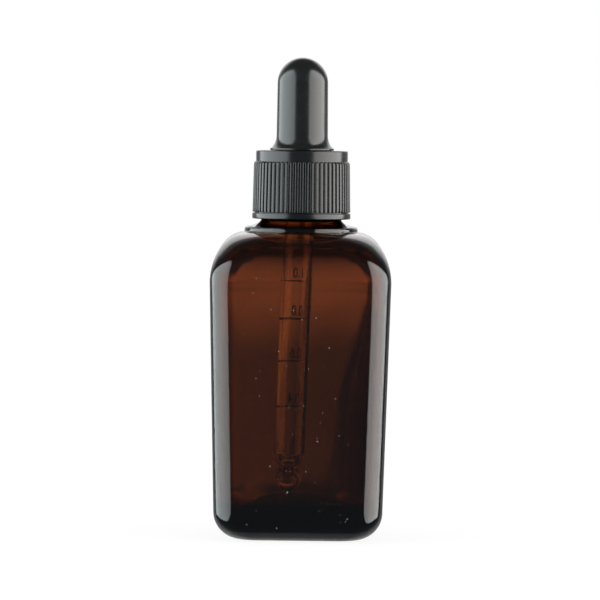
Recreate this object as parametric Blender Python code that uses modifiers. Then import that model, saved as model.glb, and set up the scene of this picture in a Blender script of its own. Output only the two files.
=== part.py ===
# Amber dropper bottle: a tapered square glass bottle with a round screw neck, a ribbed screw cap,
# and a dropper made of a rubber bulb and a glass pipette. Four pieces, in metres, +Z up.
# The origin is the middle of the base, on the surface the bottle stands on. The front faces -Y.

import math

import bmesh
import bpy
from mathutils import Matrix, Vector

MM = 0.001

# Fits and cuts
PIECE_GAP = 0.3 * MM            # left between two pieces that touch on the real object
CUT_OVERRUN = 1.0 * MM          # how far a cutter runs past the face it opens
MERGE_DISTANCE = 0.001 * MM     # points closer than this are one point

# Glass bottle: outside
BODY_HALF_WIDTH = 20.9 * MM     # at the widest height, just under the shoulder
BASE_HALF_WIDTH = 19.35 * MM    # where the tapered sides would meet the table
CORNER_RADIUS = 6.3 * MM        # upright corners of the body, seen from above
BASE_CORNER_RADIUS = 4.0 * MM   # the same corners at the resting ring
HEEL_RADIUS = 6.8 * MM          # rounding from the sides into the base
RESTING_RING_WIDTH = 2.4 * MM
PUSH_UP_DEPTH = 1.2 * MM        # hollow under the base
PUSH_UP_SHARES = ((0.34, 1.0), (0.68, 0.74))    # of the ring's inner half width, and of that depth
SHOULDER_TOP_HEIGHT = 71.1 * MM
SHOULDER_HEIGHT = 11.5 * MM     # from the widest height up to the shoulder's top
SHOULDER_RADIUS = 11.6 * MM     # rounding from the sides in towards the neck
STEP_RADIUS = 13.6 * MM         # round step between the shoulder and the neck
STEP_HEIGHT = 1.0 * MM
STEP_DRAFT = 0.35 * MM
NECK_FLARE_WIDTH = 4.1 * MM
NECK_FLARE_HEIGHT = 2.0 * MM
NECK_SKIRT_RADIUS = 9.35 * MM   # widest plain part of the neck, just under the cap
NECK_RADIUS = 8.6 * MM          # root of the bottle's thread
NECK_TAPER_HEIGHT = 1.6 * MM
NECK_HEIGHT = 15.1 * MM         # from the shoulder's top to the sealing rim
RIM_ROUNDING = 0.6 * MM

# Glass bottle: inside
SIDE_WALL = 2.2 * MM
SHOULDER_WALL = 2.4 * MM
FLOOR_HEIGHT = 7.0 * MM         # inner floor above the table
FLOOR_CROWN = 0.5 * MM          # the floor's middle stands this much higher
INNER_CORNER_RADIUS = 4.1 * MM
INNER_HEEL_RADIUS = 5.2 * MM
BORE_RADIUS = 6.2 * MM
BORE_ENTRY_WIDTH = 1.1 * MM     # the roof of the inside turns into the bore over this width
BORE_ENTRY_HEIGHT = 0.4 * MM
INNER_SHOULDER_RADIUS = 11.0 * MM

# Screw thread, shared by the neck and the cap
THREAD_PITCH = 3.175 * MM
THREAD_CLEARANCE = 0.3 * MM     # crest of one thread to root of the other
THREAD_DEPTH = 1.1 * MM
BOTTLE_THREAD_THICKNESS = 1.4 * MM
CAP_THREAD_THICKNESS = 1.3 * MM
THREAD_TOP_LAND = 1.3 * MM      # rim to the top of the bottle's thread
THREAD_FOOT_LAND = 2.25 * MM    # plain neck under the bottle's thread
CAP_THREAD_LAND = 3.1 * MM      # plain skirt under the cap's thread
THREAD_RUNOUT_SHARE = 0.12      # part of a thread over which each end fades
THREAD_RUNOUT_SIZE_SHARE = 0.3  # thickness left at a thread's very end
THREAD_END_ANGLE = math.radians(2)  # direction in which both threads reach their top

# Screw cap
CAP_PLATE_THICKNESS = 1.4 * MM
CAP_HOLE_RADIUS = 5.6 * MM
CAP_BAND_RADIUS = 11.46 * MM    # smooth band under the ribs
CAP_BAND_HEIGHT = 1.35 * MM
CAP_COLLAR_RADIUS = 10.7 * MM   # smooth collar over the ribs
CAP_COLLAR_HEIGHT = 2.55 * MM
CAP_EDGE_ROUNDING = 0.3 * MM
RIB_COUNT = 60
RIB_TIP_RADIUS = 11.4 * MM      # at the lower end of the ribs
RIB_DEPTH = 0.42 * MM
RIB_DRAFT = 0.22 * MM           # the ribs lean in by this much at their upper end
RIB_TIP_SHARE = 0.36            # of one rib's pitch
RIB_ROOT_SHARE = 0.26
RIB_WALL_SHARE = 0.4            # how deep in the skirt's wall the rib ring is rooted

# Rubber bulb
BULB_HEIGHT = 21.65 * MM        # above the cap's top
BULB_RADIUS = 5.98 * MM         # low on the grip
BULB_DOME_RADIUS = 5.88 * MM
BULB_FOOT_RADIUS = 7.45 * MM
BULB_FOOT_THICKNESS = 0.7 * MM
BULB_FLARE_HEIGHT = 4.6 * MM
BULB_FLARE_END = 250            # degrees of arc at which the flare meets the foot
BULB_FOOT_EDGE = 0.3 * MM
BULB_WALL = 1.5 * MM
BULB_GROOVE_CLEARANCE = 0.3 * MM
SEAL_RADIUS = 8.3 * MM          # flange that seals the neck's rim
SEAL_THICKNESS = 1.8 * MM
SEAL_EDGE = 0.45 * MM
BULB_STEM_BORE = 2.3 * MM       # air way from the bulb's hollow to the pipette
SOCKET_DEPTH = 10.2 * MM        # of the pipette's socket, from the seal up
BULB_CAVITY_FLOOR = 3.2 * MM    # the bulb's hollow starts this far above the socket's end

# Glass pipette
PIPETTE_RADIUS = 3.3 * MM
PIPETTE_WALL = 1.05 * MM
PIPETTE_TIP_CLEARANCE = 2.9 * MM    # above the crown of the bottle's floor
PIPETTE_TILT = math.radians(1.9)
PIPETTE_BALL_RADIUS = 3.2 * MM
PIPETTE_WAIST_RADIUS = 2.35 * MM
PIPETTE_WAIST_LENGTH = 1.3 * MM
PIPETTE_TAPER_LENGTH = 1.5 * MM
PIPETTE_ORIFICE_RADIUS = 0.6 * MM
PIPETTE_WAIST_BORE = 1.2 * MM
PIPETTE_END_ROUNDING = 0.25 * MM

# How finely round shapes are cut
FLAT_POINTS = 4                 # points along half a side of the bottle
CORNER_POINTS = 5               # and round one of its corners
ARC_STEPS = 5
CAP_STEPS = 60
BULB_STEPS = 36
PIPETTE_STEPS = 24
THREAD_POINTS_PER_TURN = 22

# Heights and radii that follow from the sizes above
widest_height = SHOULDER_TOP_HEIGHT - SHOULDER_HEIGHT
step_top_height = SHOULDER_TOP_HEIGHT + STEP_HEIGHT
flare_top_height = step_top_height + NECK_FLARE_HEIGHT
taper_top_height = flare_top_height + NECK_TAPER_HEIGHT
rim_height = SHOULDER_TOP_HEIGHT + NECK_HEIGHT
seal_bottom_height = rim_height + PIECE_GAP
seal_top_height = seal_bottom_height + SEAL_THICKNESS
socket_end_height = seal_bottom_height + SOCKET_DEPTH
cap_bottom_height = flare_top_height
cap_ceiling_height = seal_top_height + PIECE_GAP
cap_top_height = cap_ceiling_height + CAP_PLATE_THICKNESS
cap_inner_radius = NECK_RADIUS + THREAD_DEPTH + THREAD_CLEARANCE
bulb_top_height = cap_top_height + BULB_HEIGHT
pipette_tip_height = FLOOR_HEIGHT + FLOOR_CROWN + PIPETTE_TIP_CLEARANCE

# The cap's thread runs midway between the turns of the neck's, so it starts half a pitch lower
thread_top_height = rim_height - THREAD_TOP_LAND
bottle_thread_rise = thread_top_height - BOTTLE_THREAD_THICKNESS - taper_top_height - THREAD_FOOT_LAND
cap_thread_middle = thread_top_height - BOTTLE_THREAD_THICKNESS / 2 - THREAD_PITCH / 2
cap_thread_top_height = cap_thread_middle + CAP_THREAD_THICKNESS / 2
cap_thread_rise = cap_thread_middle - CAP_THREAD_THICKNESS / 2 - cap_bottom_height - CAP_THREAD_LAND


def clear_scene():
    for thing in list(bpy.data.objects):
        bpy.data.objects.remove(thing, do_unlink=True)


def make_collection(name):
    collection = bpy.data.collections.new(name)
    bpy.context.scene.collection.children.link(collection)
    return collection


def make_material(name, colour, roughness, transmission=0.0, ior=1.5):
    material = bpy.data.materials.new(name)
    material.use_nodes = True
    shader = material.node_tree.nodes["Principled BSDF"]
    shader.inputs["Base Color"].default_value = (*colour, 1.0)
    shader.inputs["Roughness"].default_value = roughness
    shader.inputs["Metallic"].default_value = 0.0
    shader.inputs["Transmission Weight"].default_value = transmission
    shader.inputs["IOR"].default_value = ior
    return material


def add_object(name, data, collection, material=None):
    piece = bpy.data.objects.new(name, data)
    collection.objects.link(piece)
    if material:
        data.materials.append(material)
    return piece


def mark_cutter(piece):
    piece.hide_render = True
    piece.display_type = "WIRE"


def arc(centre, radii, start, end, steps=ARC_STEPS):
    # points of an elliptic arc as (radius, height); angles in degrees, 0 is outwards and 90 is up
    points = []
    for i in range(steps + 1):
        angle = math.radians(start + (end - start) * i / steps)
        points.append((centre[0] + radii[0] * math.cos(angle), centre[1] + radii[1] * math.sin(angle)))
    return points


def without_repeats(points):
    kept = [points[0]]
    for point in points[1:]:
        if math.dist(point, kept[-1]) > MERGE_DISTANCE:
            kept.append(point)
    return kept


def turned(name, outline, steps, collection, material=None, closed=False):
    # an outline of (radius, height) points, outer side from top to bottom, spun about Z
    outline = without_repeats(outline)
    mesh = bpy.data.meshes.new(name)
    edges = [(i, i + 1) for i in range(len(outline) - 1)]
    if closed:
        edges.append((len(outline) - 1, 0))
    mesh.from_pydata([(radius, 0.0, height) for radius, height in outline], edges, [])
    piece = add_object(name, mesh, collection, material)
    screw = piece.modifiers.new("Turn", "SCREW")
    screw.axis = "Z"
    screw.steps = steps
    screw.render_steps = steps
    screw.use_merge_vertices = True
    screw.merge_threshold = MERGE_DISTANCE
    screw.use_smooth_shade = True
    return piece


def as_mesh(piece):
    # the evaluated piece as a plain mesh object, with a curve's caps welded on
    graph = bpy.context.evaluated_depsgraph_get()
    mesh = bpy.data.meshes.new_from_object(piece.evaluated_get(graph))
    body = bmesh.new()
    body.from_mesh(mesh)
    bmesh.ops.remove_doubles(body, verts=body.verts, dist=MERGE_DISTANCE)
    body.to_mesh(mesh)
    body.free()
    solid = bpy.data.objects.new(piece.name + "_solid", mesh)
    for collection in piece.users_collection:
        collection.objects.link(solid)
    solid.matrix_world = piece.matrix_world
    bpy.data.objects.remove(piece, do_unlink=True)
    return solid


def boolean(piece, cutter, operation):
    modifier = piece.modifiers.new(cutter.name, "BOOLEAN")
    modifier.operation = operation
    modifier.solver = "EXACT"
    modifier.use_self = True
    modifier.object = cutter
    mark_cutter(cutter)


def thread_tube(name, wall_radius, pitch_radius, thickness, top_height, rise, collection):
    # a right-hand helix that climbs to top_height; both of its ends fade into the wall
    turns = rise / THREAD_PITCH
    curve = bpy.data.curves.new(name, "CURVE")
    curve.dimensions = "3D"
    curve.bevel_depth = thickness / 2
    curve.bevel_resolution = 2
    curve.use_fill_caps = True
    curve.twist_mode = "Z_UP"
    spline = curve.splines.new("POLY")
    count = round(THREAD_POINTS_PER_TURN * turns)
    spline.points.add(count)
    for i, point in enumerate(spline.points):
        share = i / count
        angle = THREAD_END_ANGLE + math.tau * turns * (share - 1)
        height = top_height - thickness / 2 - rise * (1 - share)
        fade = min(1.0, min(share, 1 - share) / THREAD_RUNOUT_SHARE)
        point.radius = THREAD_RUNOUT_SIZE_SHARE + (1 - THREAD_RUNOUT_SIZE_SHARE) * fade
        radius = wall_radius + (pitch_radius - wall_radius) * fade
        point.co = (radius * math.cos(angle), radius * math.sin(angle), height, 1.0)
    return as_mesh(add_object(name, curve, collection))


def section_angles():
    # directions of a section's points, closer together round the corners of the body
    flat_end = math.atan((BODY_HALF_WIDTH - CORNER_RADIUS) / BODY_HALF_WIDTH)
    eighth = [flat_end * i / FLAT_POINTS for i in range(FLAT_POINTS)]
    corner_span = math.pi / 2 - 2 * flat_end
    corner = [flat_end + corner_span * i / CORNER_POINTS for i in range(CORNER_POINTS + 1)]
    mirrored = [math.pi / 2 - angle for angle in reversed(eighth[1:])]
    quarter = eighth + corner + mirrored
    return [angle + quarter_turn * math.pi / 2 for quarter_turn in range(4) for angle in quarter]


def section_point(angle, half_width, corner_radius, height):
    # where a ray at this angle leaves a square with rounded corners
    folded = angle % (math.pi / 2)
    if folded > math.pi / 4:
        folded = math.pi / 2 - folded
    corner = half_width - corner_radius
    if math.tan(folded) * half_width <= corner:
        reach = half_width / math.cos(folded)
    else:
        along = corner * (math.cos(folded) + math.sin(folded))
        reach = along + math.sqrt(max(0.0, along**2 - 2 * corner**2 + corner_radius**2))
    return (reach * math.cos(angle), reach * math.sin(angle), height)


def loft(name, sections, collection, material):
    # sections are (half width, corner radius, height); the first and last close to a point on the axis
    angles = section_angles()
    mesh = bmesh.new()
    rings = []
    for half_width, corner_radius, height in sections[1:-1]:
        ring = [mesh.verts.new(section_point(a, half_width, corner_radius, height)) for a in angles]
        rings.append(ring)
    ends = [mesh.verts.new((0.0, 0.0, section[2])) for section in (sections[0], sections[-1])]
    count = len(angles)
    for lower, upper in zip(rings, rings[1:]):
        for i in range(count):
            j = (i + 1) % count
            mesh.faces.new((lower[i], lower[j], upper[j], upper[i]))
    for i in range(count):
        j = (i + 1) % count
        mesh.faces.new((ends[0], rings[0][j], rings[0][i]))
        mesh.faces.new((ends[1], rings[-1][i], rings[-1][j]))
    data = bpy.data.meshes.new(name)
    mesh.to_mesh(data)
    mesh.free()
    data.shade_smooth()
    data.set_sharp_from_angle(angle=math.radians(40))
    return add_object(name, data, collection, material)


def round_section(radius, height):
    return (radius, radius, height)


def between(value, start, end, from_value, to_value):
    share = (value - start) / (end - start)
    return from_value + (to_value - from_value) * share


def outer_half_width(height):
    return between(height, 0, widest_height, BASE_HALF_WIDTH, BODY_HALF_WIDTH)


def base_sections():
    ring_outer = outer_half_width(0) - HEEL_RADIUS
    ring_inner = ring_outer - RESTING_RING_WIDTH
    sections = [(0, 0, PUSH_UP_DEPTH)]
    for width_share, depth_share in PUSH_UP_SHARES:
        sections.append(round_section(ring_inner * width_share, PUSH_UP_DEPTH * depth_share))
    sections.append((ring_inner, BASE_CORNER_RADIUS, 0))
    sections.append((ring_outer, BASE_CORNER_RADIUS, 0))
    heel_top_width = outer_half_width(HEEL_RADIUS)
    for x, height in arc((0, HEEL_RADIUS), (HEEL_RADIUS, HEEL_RADIUS), -90, 0, ARC_STEPS + 1)[1:]:
        share = x / HEEL_RADIUS
        width = between(share, 0, 1, ring_outer, heel_top_width)
        sections.append((width, between(share, 0, 1, BASE_CORNER_RADIUS, CORNER_RADIUS), height))
    return sections


def shoulder_sections(widest, lowest, radius, round_radius, top_height, corner_radius):
    # the sides turn in on an arc while the section changes from square to round
    sections = []
    reach = min(1.0, (top_height - lowest) / radius)
    end_angle = math.degrees(math.asin(reach))
    end_x = radius * math.cos(math.radians(end_angle))
    for x, height in arc((0, lowest), (radius, radius), 0, end_angle, ARC_STEPS + 3):
        share = (radius - x) / (radius - end_x)
        width = between(share, 0, 1, widest, round_radius)
        sections.append((width, between(share, 0, 1, corner_radius, round_radius), height))
    return sections


def neck_sections():
    flare_end = NECK_SKIRT_RADIUS + NECK_FLARE_WIDTH
    sections = [round_section(STEP_RADIUS - STEP_DRAFT, step_top_height)]
    flare = arc((flare_end, flare_top_height), (NECK_FLARE_WIDTH, NECK_FLARE_HEIGHT), -90, -180)
    sections += [round_section(radius, height) for radius, height in flare if radius < flare_end]
    sections.append(round_section(NECK_RADIUS, taper_top_height))
    rim_outer = (NECK_RADIUS - RIM_ROUNDING, rim_height - RIM_ROUNDING)
    rim_inner = (BORE_RADIUS + RIM_ROUNDING, rim_height - RIM_ROUNDING)
    rim = arc(rim_outer, (RIM_ROUNDING, RIM_ROUNDING), 0, 90, 3)
    rim += arc(rim_inner, (RIM_ROUNDING, RIM_ROUNDING), 90, 180, 3)
    sections += [round_section(radius, height) for radius, height in rim]
    return sections


def inner_sections():
    # from the bore down to the middle of the floor
    ceiling = SHOULDER_TOP_HEIGHT - SHOULDER_WALL
    widest_height = ceiling - INNER_SHOULDER_RADIUS
    widest = outer_half_width(widest_height) - SIDE_WALL
    sections = [round_section(BORE_RADIUS, ceiling + BORE_ENTRY_HEIGHT)]
    entry_radius = BORE_RADIUS + BORE_ENTRY_WIDTH
    roof = shoulder_sections(
        widest, widest_height, INNER_SHOULDER_RADIUS, entry_radius, ceiling, INNER_CORNER_RADIUS
    )
    sections += reversed(roof)
    heel_top = FLOOR_HEIGHT + INNER_HEEL_RADIUS
    heel_top_width = outer_half_width(heel_top) - SIDE_WALL
    floor_width = heel_top_width - INNER_HEEL_RADIUS
    heel = arc((0, heel_top), (INNER_HEEL_RADIUS, INNER_HEEL_RADIUS), 0, -90)
    for x, height in heel:
        share = x / INNER_HEEL_RADIUS
        width = between(share, 0, 1, floor_width, heel_top_width)
        sections.append((width, INNER_CORNER_RADIUS, height))
    sections.append(round_section(floor_width / 2, FLOOR_HEIGHT + FLOOR_CROWN))
    sections.append((0, 0, FLOOR_HEIGHT + FLOOR_CROWN))
    return sections


def make_bottle(parts, cutters, material):
    sections = base_sections()
    sections += shoulder_sections(
        BODY_HALF_WIDTH, widest_height, SHOULDER_RADIUS, STEP_RADIUS, SHOULDER_TOP_HEIGHT, CORNER_RADIUS
    )
    sections += neck_sections()
    sections += inner_sections()
    bottle = loft("glass_bottle", sections, parts, material)
    thread = thread_tube(
        "neck_thread",
        NECK_RADIUS,
        NECK_RADIUS + THREAD_DEPTH - BOTTLE_THREAD_THICKNESS / 2,
        BOTTLE_THREAD_THICKNESS,
        thread_top_height,
        bottle_thread_rise,
        cutters,
    )
    boolean(bottle, thread, "UNION")
    return bottle


def rib_outline():
    # one closed toothed outline at the lower end of the ribs
    points = []
    pitch = math.tau / RIB_COUNT
    flank_share = (1 - RIB_TIP_SHARE - RIB_ROOT_SHARE) / 2
    root_radius = RIB_TIP_RADIUS - RIB_DEPTH
    corners = (
        (0, RIB_TIP_RADIUS),
        (RIB_TIP_SHARE, RIB_TIP_RADIUS),
        (RIB_TIP_SHARE + flank_share, root_radius),
        (RIB_TIP_SHARE + flank_share + RIB_ROOT_SHARE, root_radius),
    )
    for rib in range(RIB_COUNT):
        for share, radius in corners:
            angle = pitch * (rib + share - RIB_TIP_SHARE / 2)
            points.append((radius * math.cos(angle), radius * math.sin(angle)))
    return points


def make_rib_ring(collection):
    bottom = cap_bottom_height + CAP_BAND_HEIGHT / 2
    top = cap_top_height - CAP_COLLAR_HEIGHT
    curve = bpy.data.curves.new("ribs", "CURVE")
    curve.dimensions = "2D"
    curve.fill_mode = "BOTH"
    curve.extrude = (top - bottom) / 2
    seat_radius = CAP_COLLAR_RADIUS - (CAP_COLLAR_RADIUS - cap_inner_radius) * RIB_WALL_SHARE
    hole = []
    for i in range(CAP_STEPS):
        angle = math.tau * (i + 0.5) / CAP_STEPS
        hole.append((seat_radius * math.cos(angle), seat_radius * math.sin(angle)))
    for outline in (rib_outline(), hole):
        spline = curve.splines.new("POLY")
        spline.points.add(len(outline) - 1)
        for point, (x, y) in zip(spline.points, outline):
            point.co = (x, y, 0.0, 1.0)
        spline.use_cyclic_u = True
    ring = add_object("ribs", curve, collection)
    ring.location.z = (top + bottom) / 2
    bpy.context.view_layer.update()
    solid = as_mesh(ring)
    lean = 1 - RIB_DRAFT / RIB_TIP_RADIUS
    for vertex in solid.data.vertices:
        outside = math.hypot(vertex.co.x, vertex.co.y) > CAP_COLLAR_RADIUS
        if vertex.co.z > 0 and outside:
            vertex.co.x *= lean
            vertex.co.y *= lean
    return solid


def make_cap(parts, cutters, material):
    edge = CAP_EDGE_ROUNDING
    band_top = cap_bottom_height + CAP_BAND_HEIGHT
    outline = [(CAP_HOLE_RADIUS, cap_top_height)]
    outline += arc((CAP_COLLAR_RADIUS - edge, cap_top_height - edge), (edge, edge), 90, 0, 2)
    outline.append((CAP_COLLAR_RADIUS, band_top))
    outline.append((CAP_BAND_RADIUS - edge, band_top))
    outline += arc((CAP_BAND_RADIUS - edge, band_top - edge), (edge, edge), 90, 0, 2)
    outline += arc((CAP_BAND_RADIUS - edge, cap_bottom_height + edge), (edge, edge), 0, -90, 2)
    outline.append((cap_inner_radius + edge, cap_bottom_height))
    outline.append((cap_inner_radius, cap_bottom_height + edge))
    outline.append((cap_inner_radius, cap_ceiling_height))
    outline.append((CAP_HOLE_RADIUS, cap_ceiling_height))
    cap = turned("screw_cap", outline, CAP_STEPS, parts, material, closed=True)
    thread = thread_tube(
        "cap_thread",
        cap_inner_radius,
        cap_inner_radius - THREAD_DEPTH + CAP_THREAD_THICKNESS / 2,
        CAP_THREAD_THICKNESS,
        cap_thread_top_height,
        cap_thread_rise,
        cutters,
    )
    boolean(cap, make_rib_ring(cutters), "UNION")
    boolean(cap, thread, "UNION")
    return cap


def make_bulb(parts, cutters, material, pipette_cutter):
    dome_centre = bulb_top_height - BULB_DOME_RADIUS
    foot_bottom = cap_top_height + PIECE_GAP
    flare_top = foot_bottom + BULB_FOOT_THICKNESS + BULB_FLARE_HEIGHT
    groove_radius = CAP_HOLE_RADIUS - BULB_GROOVE_CLEARANCE
    outline = arc((0, dome_centre), (BULB_DOME_RADIUS, BULB_DOME_RADIUS), 90, 0, ARC_STEPS + 2)
    flare_width = BULB_FOOT_RADIUS - BULB_RADIUS
    outline += arc((BULB_FOOT_RADIUS, flare_top), (flare_width, BULB_FLARE_HEIGHT), 180, BULB_FLARE_END)
    outline.append((BULB_FOOT_RADIUS, foot_bottom + BULB_FOOT_EDGE))
    outline.append((BULB_FOOT_RADIUS - BULB_FOOT_EDGE, foot_bottom))
    outline.append((groove_radius, foot_bottom))
    outline.append((groove_radius, seal_top_height))
    outline.append((SEAL_RADIUS - SEAL_EDGE, seal_top_height))
    outline.append((SEAL_RADIUS, seal_top_height - SEAL_EDGE))
    outline.append((SEAL_RADIUS, seal_bottom_height + SEAL_EDGE))
    outline.append((SEAL_RADIUS - SEAL_EDGE, seal_bottom_height))
    outline.append((BULB_STEM_BORE, seal_bottom_height))
    cavity_floor = socket_end_height + BULB_CAVITY_FLOOR
    cavity_radius = BULB_DOME_RADIUS - BULB_WALL
    outline.append((BULB_STEM_BORE, cavity_floor - BULB_WALL))
    outline.append((cavity_radius, cavity_floor))
    outline += arc((0, dome_centre), (cavity_radius, cavity_radius), 0, 90, ARC_STEPS)
    bulb = turned("rubber_bulb", outline, BULB_STEPS, parts, material)
    boolean(bulb, pipette_cutter, "DIFFERENCE")
    return bulb


def pipette_place():
    # the tilt leans the lower end towards -X, about the point where the tube leaves the seal
    hinge = Vector((0.0, 0.0, seal_bottom_height))
    lean = Matrix.Rotation(PIPETTE_TILT, 4, "Y")
    return Matrix.Translation(hinge) @ lean @ Matrix.Translation(-hinge)


def make_pipette(parts, material):
    # heights here are along the tube, which is a hair longer than its upright reach
    below_seal = (seal_bottom_height - pipette_tip_height) / math.cos(PIPETTE_TILT)
    tip = seal_bottom_height - below_seal
    top = socket_end_height - PIECE_GAP
    bore = PIPETTE_RADIUS - PIPETTE_WALL
    rounding = PIPETTE_END_ROUNDING
    ball_centre = tip + PIPETTE_BALL_RADIUS
    waist_angle = math.degrees(math.acos(PIPETTE_WAIST_RADIUS / PIPETTE_BALL_RADIUS))
    orifice_angle = math.degrees(math.acos(PIPETTE_ORIFICE_RADIUS / PIPETTE_BALL_RADIUS))
    waist = ball_centre + PIPETTE_BALL_RADIUS * math.sin(math.radians(waist_angle))
    taper_start = waist + PIPETTE_WAIST_LENGTH
    taper_end = taper_start + PIPETTE_TAPER_LENGTH
    outline = arc((PIPETTE_RADIUS - rounding, top - rounding), (rounding, rounding), 90, 0, 2)
    outline.append((PIPETTE_RADIUS, taper_end))
    outline.append((PIPETTE_WAIST_RADIUS, taper_start))
    ball = (PIPETTE_BALL_RADIUS, PIPETTE_BALL_RADIUS)
    outline += arc((0, ball_centre), ball, waist_angle, -orifice_angle, ARC_STEPS + 3)
    outline.append((PIPETTE_ORIFICE_RADIUS, ball_centre))
    outline.append((PIPETTE_WAIST_BORE, taper_start))
    outline.append((bore, taper_end + PIPETTE_TAPER_LENGTH))
    outline.append((bore, top))
    pipette = turned("glass_pipette", outline, PIPETTE_STEPS, parts, material, closed=True)
    pipette.matrix_world = pipette_place()
    return pipette


def make_socket_cutter(cutters):
    # the tube and its clearance, from under the seal to the end of the socket
    radius = PIPETTE_RADIUS + PIECE_GAP
    top = socket_end_height
    bottom = seal_bottom_height - CUT_OVERRUN
    bpy.ops.mesh.primitive_cylinder_add(vertices=BULB_STEPS, radius=radius, depth=top - bottom)
    cutter = bpy.context.object
    cutter.name = "pipette_socket"
    for collection in list(cutter.users_collection):
        collection.objects.unlink(cutter)
    cutters.objects.link(cutter)
    cutter.matrix_world = pipette_place() @ Matrix.Translation((0.0, 0.0, (top + bottom) / 2))
    return cutter


def main():
    clear_scene()
    parts = make_collection("amber_dropper_bottle")
    cutters = make_collection("cutters")
    amber = make_material("amber_glass", (0.23, 0.07, 0.02), 0.05, transmission=1.0, ior=1.52)
    plastic = make_material("black_plastic", (0.035, 0.036, 0.038), 0.45)
    rubber = make_material("black_rubber", (0.02, 0.021, 0.022), 0.38)
    clear = make_material("clear_glass", (0.93, 0.95, 0.94), 0.03, transmission=1.0, ior=1.5)
    make_bottle(parts, cutters, amber)
    make_cap(parts, cutters, plastic)
    make_bulb(parts, cutters, rubber, make_socket_cutter(cutters))
    make_pipette(parts, clear)


main()
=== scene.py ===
# Amber dropper bottle: the finished look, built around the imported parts.
# Lengths in the dictionaries are millimetres unless a note says otherwise.

import math
import random

import bpy
from mathutils import Matrix, Vector, noise


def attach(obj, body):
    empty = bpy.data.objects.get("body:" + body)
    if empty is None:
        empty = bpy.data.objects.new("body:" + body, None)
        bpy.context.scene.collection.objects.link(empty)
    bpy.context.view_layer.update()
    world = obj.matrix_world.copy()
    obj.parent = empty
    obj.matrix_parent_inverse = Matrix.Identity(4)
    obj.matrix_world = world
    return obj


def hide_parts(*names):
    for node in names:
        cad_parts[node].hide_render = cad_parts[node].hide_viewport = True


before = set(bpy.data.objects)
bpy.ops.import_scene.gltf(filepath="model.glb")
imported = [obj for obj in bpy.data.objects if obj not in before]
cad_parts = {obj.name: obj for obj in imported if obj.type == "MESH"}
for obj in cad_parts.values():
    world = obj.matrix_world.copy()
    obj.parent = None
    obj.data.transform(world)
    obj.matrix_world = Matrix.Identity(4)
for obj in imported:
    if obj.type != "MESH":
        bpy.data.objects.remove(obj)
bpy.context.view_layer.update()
mm = 0.001


# Shared helpers

def mixed(start, end, share):
    return start + (end - start) * share


def eased(value, low, high):
    # 0 below low, 1 above high, smooth in between
    share = min(1.0, max(0.0, (value - low) / (high - low)))
    return share * share * (3 - 2 * share)


def sharesBetween(steps):
    # even steps from 0 to 1 without the two ends
    return [i / steps for i in range(1, steps)]


def arcPoints(centre, radii, start, end, steps):
    # points of an arc as (radius, height); 0 degrees is outwards and 90 is up, and two radii make it elliptic
    across, up = radii if isinstance(radii, tuple) else (radii, radii)
    points = []
    for i in range(steps + 1):
        angle = math.radians(mixed(start, end, i / steps))
        points.append((centre[0] + across * math.cos(angle), centre[1] + up * math.sin(angle)))
    return points


def linePoints(start, end, steps, soft=False):
    # a soft line leaves the one radius and reaches the other gently
    points = []
    for i in range(steps + 1):
        share = i / steps
        across = eased(share, 0, 1) if soft else share
        points.append((mixed(start[0], end[0], across), mixed(start[1], end[1], share)))
    return points


def withoutRepeats(points, least=0.002):
    kept = [points[0]]
    for point in points[1:]:
        if math.dist(point, kept[-1]) > least:
            kept.append(point)
    return kept


def gridMesh(name, rings, startPoint=None, endPoint=None, closed=False):
    # quads between rings of equal length; the ends close to a point, or the rings run round in a loop
    count = len(rings[0])
    points = [point for ring in rings for point in ring]
    faces = []
    pairs = list(zip(range(len(rings)), range(1, len(rings))))
    if closed:
        pairs.append((len(rings) - 1, 0))
    for lower, upper in pairs:
        for i in range(count):
            j = (i + 1) % count
            faces.append((lower * count + i, lower * count + j, upper * count + j, upper * count + i))
    for point, ring, flipped in ((startPoint, 0, True), (endPoint, len(rings) - 1, False)):
        if point is None:
            continue
        points.append(point)
        for i in range(count):
            j = (i + 1) % count
            face = (len(points) - 1, ring * count + i, ring * count + j)
            faces.append(face[::-1] if flipped else face)
    mesh = bpy.data.meshes.new(name)
    mesh.from_pydata(points, [], faces)
    mesh.validate()
    mesh.shade_smooth()
    return mesh


def addPiece(name, mesh, material, body, replaces=None):
    # a mesh in millimetres becomes a piece in metres that rides on a body
    mesh.transform(Matrix.Scale(mm, 4))
    mesh.materials.append(material)
    piece = bpy.data.objects.new(name, mesh)
    bpy.context.scene.collection.objects.link(piece)
    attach(piece, body)
    if replaces:
        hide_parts(replaces)
    return piece


def turnedRings(outline, steps):
    rings = []
    for radius, height in outline:
        ring = []
        for i in range(steps):
            angle = math.tau * i / steps
            ring.append((radius * math.cos(angle), radius * math.sin(angle), height))
        rings.append(ring)
    return rings


# Materials

def newMaterial(name):
    material = bpy.data.materials.new(name)
    material.use_nodes = True
    tree = material.node_tree
    return material, tree, tree.nodes["Principled BSDF"]


def addNode(tree, kind, **values):
    node = tree.nodes.new(kind)
    for name, value in values.items():
        if name in node.inputs:
            node.inputs[name].default_value = value
        else:
            setattr(node, name, value)
    return node


def noiseNode(tree, scale, detail=2.0, roughness=0.5):
    # scale is in features per millimetre of the object
    place = addNode(tree, "ShaderNodeTexCoord")
    texture = addNode(tree, "ShaderNodeTexNoise", Scale=scale / mm, Detail=detail, Roughness=roughness)
    tree.links.new(place.outputs["Object"], texture.inputs["Vector"])
    return texture.outputs["Fac"]


def spread(tree, source, low, high, start=0.3, end=0.7):
    # a 0 to 1 pattern becomes values between low and high
    node = addNode(tree, "ShaderNodeMapRange")
    node.inputs["From Min"].default_value = start
    node.inputs["From Max"].default_value = end
    node.inputs["To Min"].default_value = low
    node.inputs["To Max"].default_value = high
    tree.links.new(source, node.inputs["Value"])
    return node.outputs["Result"]


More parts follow.
